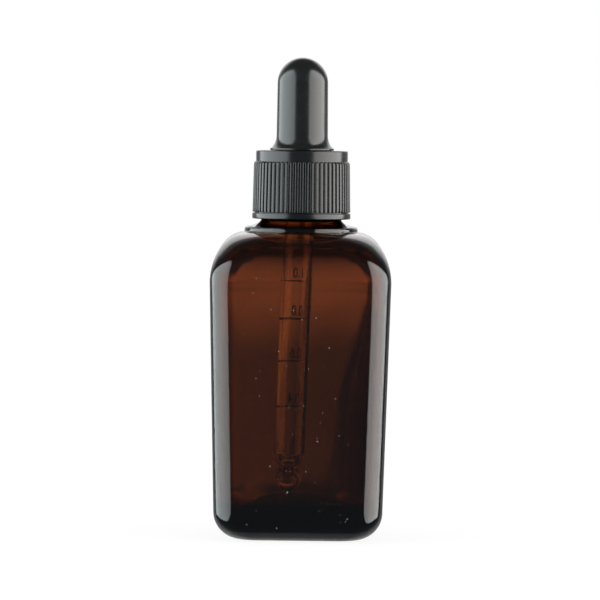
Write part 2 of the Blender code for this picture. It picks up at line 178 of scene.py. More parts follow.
def bumped(tree, source, strength, distance, under=None):
    # distance is the height of the bumps in millimetres
    node = addNode(tree, "ShaderNodeBump", Strength=strength, Distance=distance * mm)
    tree.links.new(source, node.inputs["Height"])
    if under:
        tree.links.new(under, node.inputs["Normal"])
    return node.outputs["Normal"]


def blended(tree, factor, first, second):
    # first and second are sockets or plain colours
    node = addNode(tree, "ShaderNodeMix", data_type="RGBA")
    sockets = [socket for socket in node.inputs if socket.type == "RGBA"]
    for socket, value in zip(sockets, (first, second)):
        if isinstance(value, tuple):
            socket.default_value = (*value, 1)
        else:
            tree.links.new(value, socket)
    tree.links.new(factor, node.inputs[0])
    return [socket for socket in node.outputs if socket.type == "RGBA"][0]


# Smudges and patterns are noise: (features per millimetre, detail, roughness of the noise). Bumps are (noise,
# strength, height in millimetres), the finest first.

amberLook = {
    "tint": (1.0, 1.0, 1.0),
    "ior": 1.52,
    "smudges": (0.09, 4.0, 0.6),
    "roughness": (0.012, 0.035),
    "bumps": [((0.11, 1.0), 0.35, 0.02)],
    "density": 1590.0,                  # per metre, what the strongest colour loses
    "colour": (0.668, 0.412, 0.153),    # what is left of each colour
}

clearLook = {
    "tint": (0.98, 0.99, 0.985),
    "ior": 1.5,
    "smudges": (0.3, 3.0),
    "roughness": (0.01, 0.03),
    "bumps": [((0.2, 1.0), 0.2, 0.01)],
}

rubberLook = {
    "dark": (0.01, 0.011, 0.011),
    "light": (0.017, 0.018, 0.018),
    "ior": 1.52,
    "pattern": (0.25, 5.0, 0.6),
    "roughness": (0.16, 0.24),
    "bumps": [((6.0, 3.0), 0.12, 0.01), ((0.35, 2.0), 0.3, 0.02)],
}

plasticLook = {
    "dark": (0.007, 0.008, 0.009),
    "light": (0.013, 0.014, 0.015),
    "ior": 1.5,
    "pattern": (0.5, 6.0, 0.65),
    "roughness": (0.17, 0.26),
    "bumps": [((9.0, 2.0), 0.18, 0.01)],
}

inkLook = {
    "dark": (0.006, 0.006, 0.006),
    "light": (0.02, 0.018, 0.016),
    "pattern": (2.5, 3.0),
    "roughness": (0.4, 0.7),
}

dustPaint = {
    "dark": (0.4, 0.36, 0.32),
    "light": (0.8, 0.76, 0.72),
    "pattern": (1.5, 1.0),
    "roughness": (0.6, 0.9),
}


def addBumps(tree, shader, bumps):
    normal = None
    for pattern, strength, height in bumps:
        normal = bumped(tree, noiseNode(tree, *pattern), strength, height, normal)
    if normal:
        tree.links.new(normal, shader.inputs["Normal"])


def makeGlass(name, look):
    material, tree, shader = newMaterial(name)
    shader.inputs["Base Color"].default_value = (*look["tint"], 1.0)
    shader.inputs["Transmission Weight"].default_value = 1.0
    shader.inputs["IOR"].default_value = look["ior"]
    smudges = noiseNode(tree, *look["smudges"])
    tree.links.new(spread(tree, smudges, *look["roughness"]), shader.inputs["Roughness"])
    addBumps(tree, shader, look["bumps"])
    if "density" in look:
        volume = addNode(tree, "ShaderNodeVolumeAbsorption", Density=look["density"])
        volume.inputs["Color"].default_value = (*look["colour"], 1.0)
        tree.links.new(volume.outputs["Volume"], tree.nodes["Material Output"].inputs["Volume"])
    return material


def makeOpaque(name, look):
    material, tree, shader = newMaterial(name)
    if "ior" in look:
        shader.inputs["IOR"].default_value = look["ior"]
    pattern = noiseNode(tree, *look["pattern"])
    tree.links.new(blended(tree, pattern, look["dark"], look["light"]), shader.inputs["Base Color"])
    tree.links.new(spread(tree, pattern, *look["roughness"]), shader.inputs["Roughness"])
    addBumps(tree, shader, look.get("bumps", ()))
    return material


amberGlass = makeGlass("amberGlass", amberLook)
clearGlass = makeGlass("clearGlass", clearLook)
blackRubber = makeOpaque("blackRubber", rubberLook)
blackPlastic = makeOpaque("blackPlastic", plasticLook)
scaleInk = makeOpaque("scaleInk", inkLook)
paleDust = makeOpaque("paleDust", dustPaint)
print("materials ready")


# Screw thread

threadShape = {
    "pitch": 3.175,
    "depth": 1.1,
    "halfWidth": 0.86,          # at the thread's foot
    "section": (3, 1.5),        # powers that round its section
    "endAngle": 2.0,            # degrees, where the top end fades out
    "fadeShare": 0.12,
    "bottleTop": 84.2,          # middle of the uppermost turn
    "bottleRise": 5.55,
    "capTop": 82.6125,
    "capRise": 4.7625,
}


def threadHeight(angle, height, top, rise):
    # how far a helical thread stands out at this place
    shape = threadShape
    inner, outer = shape["section"]
    turns = rise / shape["pitch"]
    start = (angle - math.radians(shape["endAngle"])) / math.tau
    best = 0.0
    for turn in range(-math.ceil(turns) - 1, 1):
        share = 1 + (start % 1.0 + turn) / turns
        if not 0 <= share <= 1:
            continue
        offset = (height - top + rise * (1 - share)) / shape["halfWidth"]
        if abs(offset) >= 1:
            continue
        fade = eased(min(share, 1 - share), 0, shape["fadeShare"])
        best = max(best, shape["depth"] * fade * (1 - abs(offset) ** inner) ** outer)
    return best


# Glass bottle

bottleShape = {
    "bodyHalfWidth": 20.9,
    "baseHalfWidth": 19.35,
    "widestHeight": 59.6,
    "cornerRadius": 5.9,
    "baseCornerRadius": 4.0,
    "baseSquaring": (0.5, 1.0),     # share of the way out over which the base goes from round to square
    "heelRadius": 6.8,
    "restingRing": 2.4,
    "pushUp": 1.2,
    "pushUpFall": (0.2, 1.0),       # and over which the push-up slopes down
    "shoulderRadius": 11.6,
    "shoulderTop": 71.1,
    "stepRadius": 13.6,             # where the shoulder meets the ring round the neck's foot
    "ringSlope": 0.01,              # the shoulder's rise from there to the ring's foot
    "ringRadius": 13.25,
    "ringFillet": 0.22,
    "ringDraft": 0.06,
    "ringEdge": 0.7,
    "stepTop": 72.35,
    "flareGap": 0.1,                # the least flat width between the ring and the flare
    "flareWidth": 4.1,
    "flareHeight": 1.75,
    "skirtRadius": 9.35,
    "neckRadius": 8.6,
    "taperHeight": 1.6,
    "rimHeight": 86.2,
    "rimRounding": 0.6,
    "boreRadius": 6.2,
    "inside": {
        "wall": 1.9,
        "roofWall": 0.75,               # the glass gets thinner towards the top of the shoulder
        "thinning": (0.92, 1.36),       # radians of the shoulder's slope
        "roofReach": 13.2,              # the shoulder's inside turns towards the bore here
        "roofSlope": (-0.6, 1.25),      # beyond 0 and 1, so that the roof slopes from end to end
        "boreStart": 1.0,               # below the rim
        "throatRise": 1.0,
        "throatRounding": 1.1,
        "throatTurn": 262,              # degrees of arc at which the throat meets the roof
        "throatRadius": 8.35,
        "throatTop": 75.6,
        "throatTaper": 2.6,
        "floorHeight": 5.7,
        "floorCrown": 4.4,
        "crownFlatness": 3.5,
        "floorSquaring": (0.4, 1.0),    # as at the base
        "lowCorner": 8.8,               # corners on the thicker side, in the lower half
        "highCorner": 4.3,              # and where the glass is thin
        "cornersChange": (26, 54),      # heights
        "cornerBlend": (0.5, 0.75, 1.0, 1.25, 1.5),     # the thick corners start softly
        "shoulderCorner": 9.0,          # how much rounder the inside gets in the shoulder
        "heelRadius": 4.2,
        "unevenness": 0.05,             # blown glass is never quite even inside
        "unevenSpan": 11.0,
        "unevenTallness": 1.6,
        "unevenFrom": (2, 6),           # from so far outside the bore to so far inside the body
    },
    "steps": {                      # how finely each stretch is divided
        "flat": 14,                     # half a side
        "corner": 24,
        "base": 12,
        "heel": 16,
        "side": 24,
        "shoulder": 44,
        "ringFoot": 2,
        "ringFillet": 6,
        "ring": 3,
        "ringEdge": 10,
        "flare": 14,
        "taper": 6,
        "thread": 70,
        "rim": 6,
        "bore": 8,
        "throat": 8,
        "throatTurn": 10,
        "roof": 10,
        "wall": 40,
        "floorEdge": 12,
        "floor": 12,
    },
}


def sectionAngles():
    shape = bottleShape
    halfWidth = shape["bodyHalfWidth"]
    flatEnd = math.atan((halfWidth - shape["cornerRadius"]) / halfWidth)
    cornerSpan = math.pi / 2 - 2 * flatEnd
    flatSteps, cornerSteps = shape["steps"]["flat"], shape["steps"]["corner"]
    flat = [flatEnd * i / flatSteps for i in range(flatSteps)]
    corner = [flatEnd + cornerSpan * i / cornerSteps for i in range(cornerSteps + 1)]
    quarter = flat + corner + [math.pi / 2 - angle for angle in reversed(flat[1:])]
    return [angle + turn * math.pi / 2 for turn in range(4) for angle in quarter]


def squareReach(angle, halfWidth, cornerRadius):
    # distance from the axis to the edge of a square with rounded corners
    folded = angle % (math.pi / 2)
    if folded > math.pi / 4:
        folded = math.pi / 2 - folded
    corner = halfWidth - cornerRadius
    if math.tan(folded) * halfWidth <= corner:
        return halfWidth / math.cos(folded)
    along = corner * (math.cos(folded) + math.sin(folded))
    return along + math.sqrt(max(0.0, along**2 - 2 * corner**2 + cornerRadius**2))


def outerHalfWidth(height):
    share = height / bottleShape["widestHeight"]
    return mixed(bottleShape["baseHalfWidth"], bottleShape["bodyHalfWidth"], share)


def shoulderPlaces():
    # (half width, corner radius, height, slope) up the shoulder; the section goes from square to round,
    # and the slope is how far the face has turned up, in radians
    shape, steps = bottleShape, bottleShape["steps"]["shoulder"]
    radius = shape["shoulderRadius"]
    endAngle = math.asin((shape["shoulderTop"] - shape["widestHeight"]) / radius)
    endX = radius * math.cos(endAngle)
    lean = (shape["bodyHalfWidth"] - shape["stepRadius"]) / (radius - endX)
    places = []
    for i in range(steps + 1):
        angle = endAngle * i / steps
        share = (1 - math.cos(angle)) * radius / (radius - endX)
        places.append((
            mixed(shape["bodyHalfWidth"], shape["stepRadius"], share),
            mixed(shape["cornerRadius"], shape["stepRadius"], share),
            shape["widestHeight"] + radius * math.sin(angle),
            math.atan(lean * math.tan(angle)),
        ))
    return places


def baseSections():
    # (half width, corner radius, height), as in the two functions that follow
    shape = bottleShape
    heel, baseCorner = shape["heelRadius"], shape["baseCornerRadius"]
    ringOuter = outerHalfWidth(0) - heel
    ringInner = ringOuter - shape["restingRing"]
    sections = []
    for share in sharesBetween(shape["steps"]["base"]):
        corner = mixed(ringInner * share, baseCorner, eased(share, *shape["baseSquaring"]))
        rise = shape["pushUp"] * (1 - eased(share, *shape["pushUpFall"]))
        sections.append((ringInner * share, corner, rise))
    sections += [(ringInner, baseCorner, 0), (ringOuter, baseCorner, 0)]
    heelTop = outerHalfWidth(heel)
    for x, height in arcPoints((0, heel), heel, -90, 0, shape["steps"]["heel"])[1:]:
        corner = mixed(baseCorner, shape["cornerRadius"], x / heel)
        sections.append((mixed(ringOuter, heelTop, x / heel), corner, height))
    return sections


def sideSections():
    shape = bottleShape
    sections = []
    for share in sharesBetween(shape["steps"]["side"]):
        height = mixed(shape["heelRadius"], shape["widestHeight"], share)
        sections.append((outerHalfWidth(height), shape["cornerRadius"], height))
    return sections


def neckSections():
    shape, steps = bottleShape, bottleShape["steps"]
    edge, fillet, rounding = shape["ringEdge"], shape["ringFillet"], shape["rimRounding"]
    neck, bore = shape["neckRadius"], shape["boreRadius"]
    ringIn = shape["ringRadius"] - shape["ringDraft"]
    edgeLow = shape["stepTop"] - edge
    flareTop = shape["stepTop"] + shape["flareHeight"]
    taperTop = flareTop + shape["taperHeight"]
    rimLow = shape["rimHeight"] - rounding
    foot = (shape["ringRadius"] + fillet, shape["shoulderTop"] + fillet)
    footStart = (foot[0], shape["shoulderTop"] + shape["ringSlope"])
    outline = linePoints((shape["stepRadius"], shape["shoulderTop"]), footStart, steps["ringFoot"])
    outline += arcPoints(foot, fillet, 270, 180, steps["ringFillet"])
    outline += linePoints((shape["ringRadius"], foot[1]), (ringIn, edgeLow), steps["ring"])
    outline += arcPoints((ringIn - edge, edgeLow), edge, 0, 90, steps["ringEdge"])
    flareMiddle = (shape["skirtRadius"] + shape["flareWidth"], flareTop)
    flare = arcPoints(flareMiddle, (shape["flareWidth"], shape["flareHeight"]), -90, -180, steps["flare"])
    outline += [point for point in flare if point[0] < ringIn - edge - shape["flareGap"]]
    outline += linePoints((shape["skirtRadius"], flareTop), (neck, taperTop), steps["taper"])
    outline += linePoints((neck, taperTop), (neck, rimLow), steps["thread"])
    outline += arcPoints((neck - rounding, rimLow), rounding, 0, 90, steps["rim"])
    outline += arcPoints((bore + rounding, rimLow), rounding, 90, 180, steps["rim"])
    return [(radius, radius, height) for radius, height in withoutRepeats(outline)]


def insideCorners(height, roundness):
    # corner radii inside, on the thin side and on the thick side
    inside = bottleShape["inside"]
    low = mixed(inside["lowCorner"], inside["highCorner"], eased(height, *inside["cornersChange"]))
    extra = inside["shoulderCorner"] * roundness
    return inside["highCorner"] + extra, low + extra


def insideSections():
    # (half width, corner radii, height) from the bore down to the middle of the floor
    shape, inside, steps = bottleShape, bottleShape["inside"], bottleShape["steps"]
    shoulder = []
    for halfWidth, _, height, slope in shoulderPlaces():
        wall = mixed(inside["wall"], inside["roofWall"], eased(slope, *inside["thinning"]))
        reach = halfWidth - wall * math.cos(slope)
        if reach < inside["roofReach"]:
            break
        roundness = (shape["bodyHalfWidth"] - halfWidth) / (shape["bodyHalfWidth"] - shape["stepRadius"])
        corners = [min(radius, reach) for radius in insideCorners(height, roundness)]
        shoulder.append((reach, corners, height - wall * math.sin(slope)))
    roofWidth, roofCorners, roofHeight = shoulder[-1]
    bore, throat, rounding = shape["boreRadius"], inside["throatRadius"], inside["throatRounding"]
    throatTop = (bore, inside["throatTop"])
    throatLow = (throat, inside["throatTop"] - inside["throatTaper"])
    turnMiddle = (throat + rounding, roofHeight + inside["throatRise"] + rounding)
    outline = linePoints((bore, shape["rimHeight"] - inside["boreStart"]), throatTop, steps["bore"])
    outline += linePoints(throatTop, throatLow, steps["throat"], soft=True)[1:]
    outline += arcPoints(turnMiddle, rounding, 180, inside["throatTurn"], steps["throatTurn"])
    sections = [(radius, (radius, radius), height) for radius, height in withoutRepeats(outline)]
    throatWidth, throatEnd = outline[-1]
    for share in sharesBetween(steps["roof"]):
        corners = [mixed(throatWidth, radius, share) for radius in roofCorners]
        height = mixed(throatEnd, roofHeight, eased(share, *inside["roofSlope"]))
        sections.append((mixed(throatWidth, roofWidth, share), corners, height))
    sections += reversed(shoulder)
    heelTop = inside["floorHeight"] + inside["heelRadius"]
    for share in sharesBetween(steps["wall"]):
        height = mixed(shape["widestHeight"], heelTop, share)
        sections.append((outerHalfWidth(height) - inside["wall"], insideCorners(height, 0), height))
    heelWidth = outerHalfWidth(heelTop) - inside["wall"]
    floorWidth = heelWidth - inside["heelRadius"]
    for x, height in arcPoints((0, heelTop), inside["heelRadius"], 0, -90, steps["floorEdge"]):
        width = mixed(floorWidth, heelWidth, x / inside["heelRadius"])
        sections.append((width, insideCorners(height, 0), height))
    for share in reversed(sharesBetween(steps["floor"])):
        width = floorWidth * share
        square = eased(share, *inside["floorSquaring"])
        corners = [min(width, mixed(width, radius, square)) for radius in insideCorners(heelTop, 0)]
        rise = inside["floorCrown"] * (1 - share ** inside["crownFlatness"])
        sections.append((width, corners, inside["floorHeight"] + rise))
    return sections


def insidePoint(angle, halfWidth, corners, height):
    # the corners on the right are the thick ones, and the wall is a little uneven
    shape, inside = bottleShape, bottleShape["inside"]
    thin, thick = corners
    reach = squareReach(angle, halfWidth, thin)
    if math.cos(angle) > 0:
        radii = [min(halfWidth, mixed(thin, thick, share)) for share in inside["cornerBlend"]]
        reach = sum(squareReach(angle, halfWidth, radius) for radius in radii) / len(radii)
    x, y = reach * math.cos(angle), reach * math.sin(angle)
    span = inside["unevenSpan"]
    ripple = noise.noise(Vector((x / span, y / span, height / span / inside["unevenTallness"])))
    pastBore, insideBody = inside["unevenFrom"]
    depth = eased(halfWidth, shape["boreRadius"] + pastBore, shape["bodyHalfWidth"] - insideBody)
    scale = 1 + inside["unevenness"] * depth * ripple / reach
    return (x * scale, y * scale, height)


def makeBottle():
    shape = bottleShape
    angles = sectionAngles()
    shoulder = [place[:3] for place in shoulderPlaces()]
    taperTop = shape["stepTop"] + shape["flareHeight"] + shape["taperHeight"]
    rings = []
    for halfWidth, cornerRadius, height in baseSections() + sideSections() + shoulder + neckSections():
        threaded = halfWidth == shape["neckRadius"] and height >= taperTop
        ring = []
        for angle in angles:
            reach = squareReach(angle, halfWidth, cornerRadius)
            if threaded:
                reach += threadHeight(angle, height, threadShape["bottleTop"], threadShape["bottleRise"])
            ring.append((reach * math.cos(angle), reach * math.sin(angle), height))
        rings.append(ring)
    for section in insideSections():
        rings.append([insidePoint(angle, *section) for angle in angles])
    floorMiddle = shape["inside"]["floorHeight"] + shape["inside"]["floorCrown"]
    mesh = gridMesh("bottle_glass", rings, (0, 0, shape["pushUp"]), (0, 0, floorMiddle))
    return addPiece("bottle_glass", mesh, amberGlass, "bottle", "glass_bottle")


makeBottle()
print("bottle ready")


# Screw cap

capShape = {
    "bottom": 74.1,
    "top": 90.0,
    "ceiling": 88.6,
    "innerRadius": 10.0,
    "holeRadius": 5.6,
    "holeBorder": 2.0,          # ring of the ceiling round the hole
    "bandRadius": 11.46,
    "bandHeight": 1.35,
    "grooveHeight": 0.16,       # shadow line between the ribs and the band
    "grooveDepth": 0.08,        # below the ribs' own grooves
    "grooveSlope": 0.01,        # its upper face rises a little outwards
    "collarRadius": 10.7,
    "collarHeight": 2.55,
    "edge": 0.3,
    "ribCount": 60,
    "ribTip": 11.4,             # at the lower end of the ribs
    "ribDepth": 0.42,
    "ribLean": 0.22,
    "ribFlatness": 5.0,         # the higher, the flatter the ribs' tips
    "ribWidth": 0.8,            # share of the way from one rib to the next
    "ribTopRounding": 0.75,
    "ribStart": 8,              # degrees of that rounding at which the ribs leave the collar
    "ribEnd": 0.16,
    "ribFade": 0.25,            # what is left of the ribs at their lower end
    "grooveFocus": 0.11,        # the steps are closer together in the grooves
    "sharpAngle": 50,           # degrees, above which an edge isn't shaded smooth
    "steps": {                  # how finely each stretch is divided
        "rib": 18,
        "hole": 3,
        "collarEdge": 5,
        "collar": 5,
        "ribTop": 8,
        "ribs": 12,
        "ribEnd": 4,
        "bandEdge": 4,
        "footEdge": 5,
        "innerEdge": 4,
        "thread": 90,
    },
}


def ribPlaces():
    # (angle, 0 in a groove to 1 on a rib's tip) round the cap
    places = []
    steps = capShape["steps"]["rib"]
    for i in range(capShape["ribCount"] * steps):
        place = i % steps / steps
        place += capShape["grooveFocus"] * math.sin(math.tau * place)
        away = 2 * min(place, 1 - place)
        tip = math.sqrt(max(0.0, 1 - (away / capShape["ribWidth"]) ** capShape["ribFlatness"]))
        places.append(((i // steps + place) * math.tau / capShape["ribCount"], tip))
    return places


def marked(points, mark):
    return [(radius, height, mark) for radius, height in points]


def capOutline():
    # (radius, height, how much the ribs show) from the hole's edge, out and down, and back up inside; the
    # ribs have no radius of their own here, and the thread's wall is marked with -1
    shape, steps = capShape, capShape["steps"]
    top, bottom, ceiling, edge = shape["top"], shape["bottom"], shape["ceiling"], shape["edge"]
    hole, collar, band, inner = (shape[name + "Radius"] for name in ("hole", "collar", "band", "inner"))
    bandTop = bottom + shape["bandHeight"]
    ribTop = top - shape["collarHeight"]
    ribBottom = bandTop + shape["grooveHeight"]
    plain = arcPoints((hole + edge / 2, top - edge / 2), edge / 2, 180, 90, steps["hole"])
    plain += arcPoints((collar - edge, top - edge), edge, 90, 0, steps["collarEdge"])
    plain += linePoints((collar, top - edge), (collar, ribTop), steps["collar"])
    outline = marked(withoutRepeats(plain), 0.0)
    rounding, ribEnd = shape["ribTopRounding"], shape["ribEnd"]
    for i in range(steps["ribTop"] + 1):
        angle = math.radians(mixed(shape["ribStart"], 90, i / steps["ribTop"]))
        outline.append((None, ribTop - rounding * (1 - math.cos(angle)), math.sin(angle)))
    for i in range(1, steps["ribs"] + 1):
        outline.append((None, mixed(ribTop - rounding, ribBottom + ribEnd, i / steps["ribs"]), 1.0))
    for i in range(1, steps["ribEnd"] + 1):
        angle = math.radians(90 * i / steps["ribEnd"])
        shown = mixed(shape["ribFade"], 1.0, math.cos(angle))
        outline.append((None, ribBottom + ribEnd - ribEnd * math.sin(angle), shown))
    groove = shape["ribTip"] - shape["ribDepth"] - shape["grooveDepth"]
    foot = [(groove, ribBottom - shape["grooveSlope"]), (groove, bandTop)]
    foot += arcPoints((band - edge / 2, bandTop - edge / 2), edge / 2, 90, 0, steps["bandEdge"])
    foot += arcPoints((band - edge, bottom + edge), edge, 0, -90, steps["footEdge"])
    foot += arcPoints((inner + edge, bottom + edge), edge, -90, -180, steps["innerEdge"])
    outline += marked(withoutRepeats(foot), 0.0)
    outline += marked(linePoints((inner, bottom + edge), (inner, ceiling), steps["thread"])[1:], -1.0)
    holeMiddle = (hole, mixed(ceiling, top, 0.5))
    outline += marked([(hole + shape["holeBorder"], ceiling), (hole, ceiling), holeMiddle], 0.0)
    return outline


def makeCap():
    shape = capShape
    places = ribPlaces()
    ribTop = shape["top"] - shape["collarHeight"]
    bandTop = shape["bottom"] + shape["bandHeight"]
    rings = []
    for radius, height, rib in capOutline():
        ring = []
        for angle, profile in places:
            reach = radius
            if radius is None:
                lean = shape["ribLean"] * (height - bandTop) / (ribTop - bandTop)
                full = shape["ribTip"] - shape["ribDepth"] * (1 - profile) - lean
                reach = mixed(shape["collarRadius"], full, rib)
            elif rib < 0:
                reach -= threadHeight(angle, height, threadShape["capTop"], threadShape["capRise"])
            ring.append((reach * math.cos(angle), reach * math.sin(angle), height))
        rings.append(ring)
    mesh = gridMesh("cap_ribbed", rings[::-1], closed=True)
    mesh.set_sharp_from_angle(angle=math.radians(shape["sharpAngle"]))
    return addPiece("cap_ribbed", mesh, blackPlastic, "cap", "screw_cap")


makeCap()
print("cap ready")


# Rubber bulb

bulbShape = {
    "top": 111.65,
    "radius": 5.98,
    "domeRadius": 5.88,
    "footRadius": 7.45,
    "lipHeight": 90.6,
    "flareWidth": 2.54,
    "flareHeight": 3.46,
    "flareEnd": 240,            # degrees of arc at which the flare meets the foot
    "footStart": 60,            # and at which the foot's edge goes on
    "footEdge": 0.2,
    "lowerEdge": 0.1,
    "wall": 1.5,
    "grooveRadius": 5.3,
    "sealRadius": 8.3,
    "sealEdge": 0.45,
    "sealBottom": 86.5,
    "sealTop": 88.3,
    "footBottom": 90.06,
    "socketRadius": 3.8,
    "socketChamfer": 0.2,
    "socketEnd": 96.7,
    "stemBore": 2.3,
    "cavityFloor": 99.9,
    "sharpAngle": 40,
    "steps": {
        "round": 128,
        "dome": 26,
        "side": 10,
        "flare": 18,
        "footEdge": 5,
        "lowerEdge": 3,
        "sealEdge": 4,
        "cavity": 16,
    },
}


def makeBulb():
    shape, steps = bulbShape, bulbShape["steps"]
    dome, foot, cavity = shape["domeRadius"], shape["footRadius"], shape["domeRadius"] - shape["wall"]
    domeCentre = shape["top"] - dome
    side, lip, flare = shape["radius"], shape["lipHeight"], (shape["flareWidth"], shape["flareHeight"])
    flareTop = lip - flare[1] * math.sin(math.radians(shape["flareEnd"]))
    edge, lower, seal = shape["footEdge"], shape["lowerEdge"], shape["sealEdge"]
    outline = arcPoints((0, domeCentre), dome, 90, 0, steps["dome"])[1:]
    outline += linePoints((dome, domeCentre), (side, flareTop), steps["side"])
    outline += arcPoints((side + flare[0], flareTop), flare, 180, shape["flareEnd"], steps["flare"])
    outline += arcPoints((foot - edge, lip - edge), edge, shape["footStart"], 0, steps["footEdge"])
    outline += arcPoints((foot - lower, shape["footBottom"] + lower), lower, 0, -90, steps["lowerEdge"])
    outline += [(shape["grooveRadius"], shape["footBottom"]), (shape["grooveRadius"], shape["sealTop"])]
    outer = shape["sealRadius"] - seal
    outline += arcPoints((outer, shape["sealTop"] - seal), seal, 90, 0, steps["sealEdge"])
    outline += arcPoints((outer, shape["sealBottom"] + seal), seal, 0, -90, steps["sealEdge"])
    socket, stem, chamfer = shape["socketRadius"], shape["stemBore"], shape["socketChamfer"]
    outline += [(socket + chamfer, shape["sealBottom"]), (socket, shape["sealBottom"] + chamfer)]
    outline += [(socket, shape["socketEnd"]), (stem, shape["socketEnd"])]
    outline += [(stem, shape["cavityFloor"] - shape["wall"]), (cavity, shape["cavityFloor"])]
    outline += arcPoints((0, domeCentre), cavity, 0, 90, steps["cavity"])[:-1]
    rings = turnedRings(withoutRepeats(outline), steps["round"])
    mesh = gridMesh("bulb_rubber", rings[::-1], (0, 0, domeCentre + cavity), (0, 0, shape["top"]))
    mesh.set_sharp_from_angle(angle=math.radians(shape["sharpAngle"]))
    return addPiece("bulb_rubber", mesh, blackRubber, "dropper", "rubber_bulb")


makeBulb()
print("bulb ready")


# Glass pipette with its printed scale

pipetteShape = {
    "radius": 3.65,
    "wall": 0.8,
    "tip": 10.4,
    "top": 96.4,
    "tilt": 1.9,                # degrees, lower end towards -X
    "tiltHeight": 86.5,
    "ballRadius": 3.05,
    "waistRadius": 2.3,
    "waistLength": 1.3,
    "taperLength": 1.5,
    "taperSpread": 0.4,         # the taper's soft ends outside
    "orificeRadius": 0.6,
    "hollowRadius": 1.9,        # the tip's hollow sits low, under thick glass
    "hollowDrop": 0.5,
    "hollowTop": 0.5,
    "waistBore": 1.35,
    "endRounding": 0.25,
    "sharpAngle": 50,
    "steps": {
        "round": 128,
        "end": 4,
        "tube": 30,
        "taper": 12,
        "ball": 30,
        "hollow": 24,
        "waist": 5,
    },
}

scaleMarks = {
    "heights": (59.5, 50.7, 40.7, 30.1),
    "numbers": ("1.0", "0.8", "0.6", "0.4"),
    "lineThickness": (0.34, 0.5, 0.42, 0.42),
    "lineFrom": (-30, -48, -42, -42),       # degrees from the back of the tube towards -X
    "lineTo": (85, 116, 108, 112),
    "lineEnd": 0.55,            # share of the thickness at a line's ends
    "lineGrowth": 12,           # how quickly it gets to the full thickness
    "lineSteps": 40,
    "numberHeight": 2.4,
    "numberWidth": 0.8,         # times the font's own
    "numberWeight": 0.05,
    "fontHeight": 0.7,          # how tall a number is in a font of size 1
    "numberGap": 0.75,          # from the middle of a line to its number
    "numberTurn": -9,           # degrees, where a number's middle is
    "clearance": 0.025,
    "thickness": 0.02,
}


def tiltedPlace():
    hinge = Vector((0, 0, pipetteShape["tiltHeight"]))
    lean = Matrix.Rotation(math.radians(pipetteShape["tilt"]), 4, "Y")
    return Matrix.Translation(hinge) @ lean @ Matrix.Translation(-hinge)


def arcAngle(radius, reach):
    # degrees at which an arc of this radius is so far from its axis
    return math.degrees(math.acos(reach / radius))


def makePipette():
    shape, steps = pipetteShape, pipetteShape["steps"]
    radius, rounding, spread = shape["radius"], shape["endRounding"], shape["taperSpread"]
    ball, hollow, orifice = shape["ballRadius"], shape["hollowRadius"], shape["orificeRadius"]
    tip = shape["tiltHeight"] - (shape["tiltHeight"] - shape["tip"]) / math.cos(math.radians(shape["tilt"]))
    ballCentre = tip + ball
    waistAngle = arcAngle(ball, shape["waistRadius"])
    taperStart = ballCentre + ball * math.sin(math.radians(waistAngle)) + shape["waistLength"]
    taperEnd = taperStart + shape["taperLength"]
    upper, lower = (radius, taperEnd + spread), (shape["waistRadius"], taperStart - spread)
    outline = arcPoints((radius - rounding, shape["top"] - rounding), rounding, 90, 0, steps["end"])
    outline += linePoints((radius, shape["top"] - rounding), upper, steps["tube"])
    outline += linePoints(upper, lower, steps["taper"], soft=True)[1:-1]
    outline += arcPoints((0, ballCentre), ball, waistAngle, -arcAngle(ball, orifice), steps["ball"])
    ends = (-arcAngle(hollow, orifice), arcAngle(hollow, shape["hollowTop"]))
    outline += arcPoints((0, ballCentre - shape["hollowDrop"]), hollow, *ends, steps["hollow"])
    boreLow = (shape["waistBore"], taperStart)
    boreStart = (radius - shape["wall"], taperEnd + shape["taperLength"])
    outline += linePoints(outline[-1], boreLow, steps["waist"])[1:]
    outline += linePoints(boreLow, boreStart, steps["taper"], soft=True)[1:-1]
    outline += linePoints(boreStart, (boreStart[0], shape["top"]), steps["tube"])
    mesh = gridMesh("pipette_glass", turnedRings(withoutRepeats(outline), steps["round"])[::-1], closed=True)
    mesh.set_sharp_from_angle(angle=math.radians(shape["sharpAngle"]))
    mesh.transform(tiltedPlace())
    return addPiece("pipette_glass", mesh, clearGlass, "dropper", "glass_pipette")


def wrapped(across, height, lift):
    # a place on the back of the tube: across runs round it towards -X
    radius = pipetteShape["radius"] + scaleMarks["clearance"] + lift
    angle = across / pipetteShape["radius"]
    return (-radius * math.sin(angle), radius * math.cos(angle), height)


def middleOf(points):
    return tuple(sum(point[axis] for point in points) / len(points) for axis in range(3))


def markLine(height, thickness, lineFrom, lineTo):
    marks = scaleMarks
    start, end = (math.radians(angle) * pipetteShape["radius"] for angle in (lineFrom, lineTo))
    rings = []
    for i in range(marks["lineSteps"] + 1):
        share = i / marks["lineSteps"]
        across = mixed(start, end, share)
        fullness = min(1.0, marks["lineEnd"] + marks["lineGrowth"] * min(share, 1 - share))
        ring = []
        for side, lift in ((-1, 0), (1, 0), (1, marks["thickness"]), (-1, marks["thickness"])):
            ring.append(wrapped(across, height + side * thickness / 2 * fullness, lift))
        rings.append(ring)
    return gridMesh("markLine", rings, middleOf(rings[0]), middleOf(rings[-1]))


